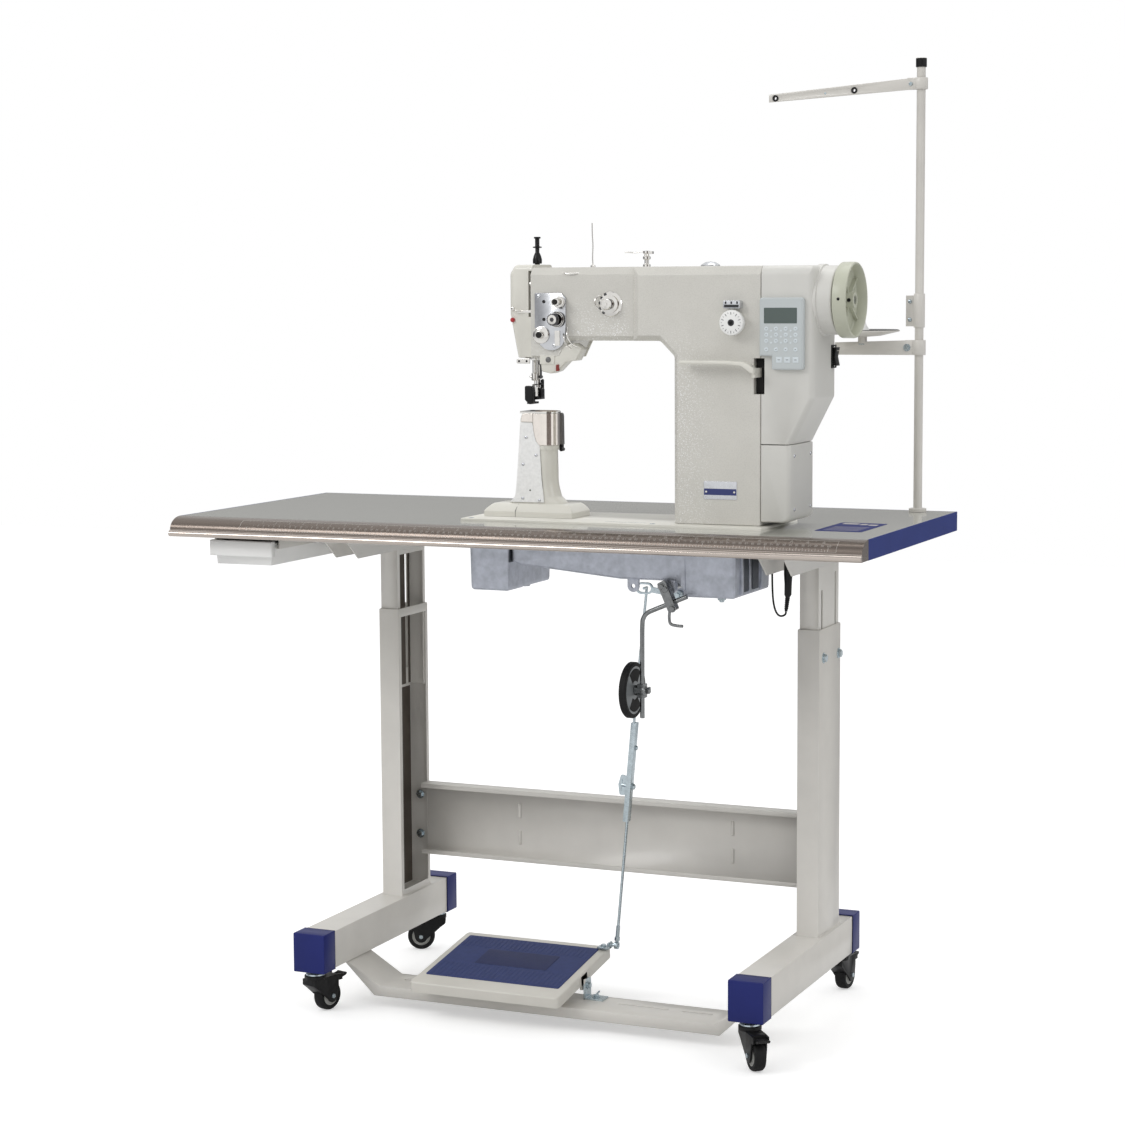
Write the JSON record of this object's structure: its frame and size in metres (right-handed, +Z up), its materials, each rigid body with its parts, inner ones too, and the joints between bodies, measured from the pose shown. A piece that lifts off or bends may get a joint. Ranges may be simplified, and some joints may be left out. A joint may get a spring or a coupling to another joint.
{
  "type": "leather sewing machine",
  "caption": "Post-bed leather sewing machine with direct-drive motor on a height-adjustable castered table with treadle, knee lifter, drawer and thread stand.",
  "frame": {"origin": "on the floor under the middle of the whole bounding box", "axes": "+X to the operator's right along the table, +Y away from the operator, +Z up"},
  "size_m": [1.2, 0.5852, 1.584],
  "materials": {
    "ivory_paint": "smooth ivory enamel with a fine sparkle",
    "cover_paint": "moulded light-grey cover, satin gloss",
    "handwheel_paint": "moulded grey-green, satin gloss",
    "grey_laminate": "glossy laminate over board",
    "taupe_edge": "brushed taupe anodised edge rail",
    "stand_paint": "light grey powder coat",
    "blue_plastic": "blue moulded plastic",
    "pedal_paint": "light grey powder coat",
    "black_plastic": "black moulded plastic",
    "black_rubber": "black rubber",
    "black_steel": "black oxide steel",
    "zinc_plate": "bright zinc plate",
    "polished_steel": "polished steel",
    "cast_aluminium": "grey cast aluminium",
    "white_plastic": "white moulded plastic",
    "motor_windings": "stator laminations and windings"
  },
  "bodies": {
    "base": {"leg_left": "stand_paint", "leg_right": "stand_paint", "foot_cap_front_left": "blue_plastic", "foot_cap_rear_left": "blue_plastic", "foot_cap_front_right": "blue_plastic", "foot_cap_rear_right": "blue_plastic", "stretcher": "stand_paint", "treadle_bar": "stand_paint"},
    "table": {"tabletop": "grey_laminate", "front_edge": "taupe_edge", "table_bracket_left": "stand_paint", "table_bracket_right": "stand_paint", "drawer_rail": "stand_paint", "bed_plate": "ivory_paint", "oil_pan": "cast_aluminium", "post_body": "ivory_paint", "post_cover": "cover_paint", "hook_cover": "polished_steel", "head_casting": "ivory_paint", "rear_cover": "ivory_paint", "face_cover": "ivory_paint", "motor_cover_upper": "cover_paint", "motor_cover_lower": "cover_paint", "motor_stator": "motor_windings", "control_panel": "cover_paint", "tension_plate": "polished_steel", "stand_pole": "stand_paint", "control_lead": "black_rubber", "lead_connector": "black_plastic"},
    "caster_front_left": {"caster_fork_front_left": "black_plastic"},
    "caster_wheel_front_left": {"caster_wheel_front_left": "black_rubber"},
    "caster_brake_front_left": {"caster_brake_front_left": "black_plastic"},
    "caster_rear_left": {"caster_fork_rear_left": "black_plastic"},
    "caster_wheel_rear_left": {"caster_wheel_rear_left": "black_rubber"},
    "caster_brake_rear_left": {"caster_brake_rear_left": "black_plastic"},
    "caster_front_right": {"caster_fork_front_right": "black_plastic"},
    "caster_wheel_front_right": {"caster_wheel_front_right": "black_rubber"},
    "caster_brake_front_right": {"caster_brake_front_right": "black_plastic"},
    "caster_rear_right": {"caster_fork_rear_right": "black_plastic"},
    "caster_wheel_rear_right": {"caster_wheel_rear_right": "black_rubber"},
    "caster_brake_rear_right": {"caster_brake_rear_right": "black_plastic"},
    "pedal": {"pedal": "pedal_paint"},
    "pull_rod_lower": {"pull_rod_lower": "zinc_plate"},
    "pull_rod_upper": {"pull_rod_upper": "zinc_plate"},
    "control_lever": {"control_lever": "zinc_plate"},
    "drawer": {"drawer": "white_plastic"},
    "main_shaft": {"main_shaft": "polished_steel", "handwheel": "handwheel_paint"},
    "rotary_hook": {"rotary_hook": "polished_steel"},
    "needle_bar": {"needle_bar": "polished_steel"},
    "take_up_lever": {"take_up_lever": "polished_steel"},
    "presser_bar": {"presser_bar": "black_steel"},
    "presser_regulator": {"presser_regulator": "black_steel"},
    "stitch_dial": {"stitch_dial": "white_plastic"},
    "tension_knob": {"tension_knob": "polished_steel"},
    "reverse_lever": {"reverse_lever": "ivory_paint"},
    "power_switch": {"power_switch": "black_plastic"},
    "knee_lifter": {"knee_lifter": "zinc_plate"},
    "thread_arm": {"thread_arm": "stand_paint"},
    "spool_arm": {"spool_arm": "stand_paint"}
  },
  "joints": [
    {"name": "table_height", "type": "slide", "parent": "base", "child": "table", "axis": [0, 0, 1], "range_m": [-0.05, 0.05]},
    {"name": "caster_swivel_front_left", "type": "hinge", "parent": "base", "child": "caster_front_left", "pos_m": [-0.368, -0.2316, 0.069], "axis": [0, 0, 1], "continuous": true},
    {"name": "caster_roll_front_left", "type": "hinge", "parent": "caster_front_left", "child": "caster_wheel_front_left", "pos_m": [-0.36075, -0.20455, 0.025], "axis": [-0.9659, 0.2588, 0], "continuous": true},
    {"name": "caster_brake_press_front_left", "type": "hinge", "parent": "caster_front_left", "child": "caster_brake_front_left", "pos_m": [-0.35571, -0.18572, 0.053], "axis": [-0.9659, 0.2588, 0], "range_deg": [0, 12]},
    {"name": "caster_swivel_rear_left", "type": "hinge", "parent": "base", "child": "caster_rear_left", "pos_m": [-0.368, 0.2254, 0.069], "axis": [0, 0, 1], "continuous": true},
    {"name": "caster_roll_rear_left", "type": "hinge", "parent": "caster_rear_left", "child": "caster_wheel_rear_left", "pos_m": [-0.39358, 0.21401, 0.025], "axis": [0.4067, -0.9135, 0], "continuous": true},
    {"name": "caster_brake_press_rear_left", "type": "hinge", "parent": "caster_rear_left", "child": "caster_brake_rear_left", "pos_m": [-0.41139, 0.20608, 0.053], "axis": [0.4067, -0.9135, 0], "range_deg": [0, 12]},
    {"name": "caster_swivel_front_right", "type": "hinge", "parent": "base", "child": "caster_front_right", "pos_m": [0.406, -0.2316, 0.069], "axis": [0, 0, 1], "continuous": true},
    {"name": "caster_roll_front_right", "type": "hinge", "parent": "caster_front_right", "child": "caster_wheel_front_right", "pos_m": [0.42362, -0.25336, 0.025], "axis": [0.7771, 0.6293, 0], "continuous": true},
    {"name": "caster_brake_press_front_right", "type": "hinge", "parent": "caster_front_right", "child": "caster_brake_front_right", "pos_m": [0.43589, -0.26851, 0.053], "axis": [0.7771, 0.6293, 0], "range_deg": [0, 12]},
    {"name": "caster_swivel_rear_right", "type": "hinge", "parent": "base", "child": "caster_rear_right", "pos_m": [0.406, 0.2254, 0.069], "axis": [0, 0, 1], "continuous": true},
    {"name": "caster_roll_rear_right", "type": "hinge", "parent": "caster_rear_right", "child": "caster_wheel_rear_right", "pos_m": [0.40893, 0.25325, 0.025], "axis": [-0.9945, 0.1045, 0], "continuous": true},
    {"name": "caster_brake_press_rear_right", "type": "hinge", "parent": "caster_rear_right", "child": "caster_brake_rear_right", "pos_m": [0.41097, 0.27264, 0.053], "axis": [-0.9945, 0.1045, 0], "range_deg": [0, 12]},
    {"name": "pedal_tilt", "type": "hinge", "parent": "base", "child": "pedal", "pos_m": [-0.0666, -0.0996, 0.06], "axis": [-1, 0, 0], "range_deg": [-8, 12], "stiffness_Nm_per_rad": 8, "springref_deg": -1.15},
    {"name": "pull_rod_pivot", "type": "hinge", "parent": "pedal", "child": "pull_rod_lower", "pos_m": [0.085, 0.0004, 0.1046], "axis": [-1, 0, 0], "range_deg": [-13, 8.7]},
    {"name": "pull_rod_length", "type": "slide", "parent": "pull_rod_lower", "child": "pull_rod_upper", "axis": [0.0995, -0.0194, 0.9948], "range_m": [-0.052, 0.052]},
    {"name": "control_lever_turn", "type": "hinge", "parent": "table", "child": "control_lever", "pos_m": [0.2057, -0.0196, 0.7095], "axis": [0, -1, 0], "range_deg": [-14, 21]},
    {"name": "drawer_slide", "type": "slide", "parent": "table", "child": "drawer", "axis": [0, -1, 0], "range_m": [0, 0.2]},
    {"name": "handwheel_turn", "type": "hinge", "parent": "table", "child": "main_shaft", "pos_m": [0.506, -0.0906, 1.191], "axis": [1, 0, 0], "continuous": true},
    {"name": "hook_turn", "type": "hinge", "parent": "table", "child": "rotary_hook", "pos_m": [0.001, -0.0906, 0.968], "axis": [0, 0, 1], "continuous": true},
    {"name": "needle_bar_slide", "type": "slide", "parent": "table", "child": "needle_bar", "axis": [0, 0, -1], "range_m": [0, 0.03]},
    {"name": "take_up_swing", "type": "hinge", "parent": "table", "child": "take_up_lever", "pos_m": [-0.00725, -0.0776, 1.18], "axis": [1, 0, 0], "range_deg": [0, 38.5]},
    {"name": "presser_bar_slide", "type": "slide", "parent": "table", "child": "presser_bar", "axis": [0, 0, 1], "range_m": [-0.0105, 0.002]},
    {"name": "presser_regulator_turn", "type": "hinge", "parent": "table", "child": "presser_regulator", "pos_m": [-0.0185, -0.0766, 1.25], "axis": [0, 0, 1], "range_deg": [-180, 180]},
    {"name": "stitch_dial_turn", "type": "hinge", "parent": "table", "child": "stitch_dial", "pos_m": [0.3513, -0.1496, 1.1572], "axis": [0, -1, 0], "range_deg": [-150, 150]},
    {"name": "tension_knob_turn", "type": "hinge", "parent": "table", "child": "tension_knob", "pos_m": [0.0475, -0.1421, 1.162], "axis": [0, -1, 0], "range_deg": [-180, 180]},
    {"name": "reverse_lever_press", "type": "hinge", "parent": "table", "child": "reverse_lever", "pos_m": [0.3875, -0.1116, 1.078], "axis": [1, 0, 0], "range_deg": [0, 18], "stiffness_Nm_per_rad": 0.6, "springref_deg": -11.46},
    {"name": "power_switch_rock", "type": "hinge", "parent": "table", "child": "power_switch", "pos_m": [0.4815, -0.0486, 1.1025], "axis": [0, 1, 0], "range_deg": [-8, 8]},
    {"name": "knee_lift", "type": "hinge", "parent": "table", "child": "knee_lifter", "pos_m": [0.25, -0.1846, 0.74], "axis": [0, -1, 0], "range_deg": [0, 25], "stiffness_Nm_per_rad": 5, "springref_deg": -11.46},
    {"name": "thread_arm_swivel", "type": "hinge", "parent": "table", "child": "thread_arm", "pos_m": [0.539, 0.2268, 1.533], "axis": [0, 0, 1], "range_deg": [-60, 60]},
    {"name": "spool_arm_swivel", "type": "hinge", "parent": "table", "child": "spool_arm", "pos_m": [0.539, 0.2268, 1.0975], "axis": [0, 0, 1], "range_deg": [-60, 60]}
  ],
  "couplings": [
    {"joint": "pull_rod_pivot", "follows": "pedal_tilt", "ratio": -1.0726},
    {"joint": "control_lever_turn", "follows": "pedal_tilt", "ratio": 1.686},
    {"joint": "pull_rod_length", "follows": "table_height", "ratio": 1.0052},
    {"joint": "hook_turn", "follows": "handwheel_turn", "ratio": 2},
    {"joint": "take_up_swing", "follows": "needle_bar_slide", "rad_per_m": 22.1}
  ]
}
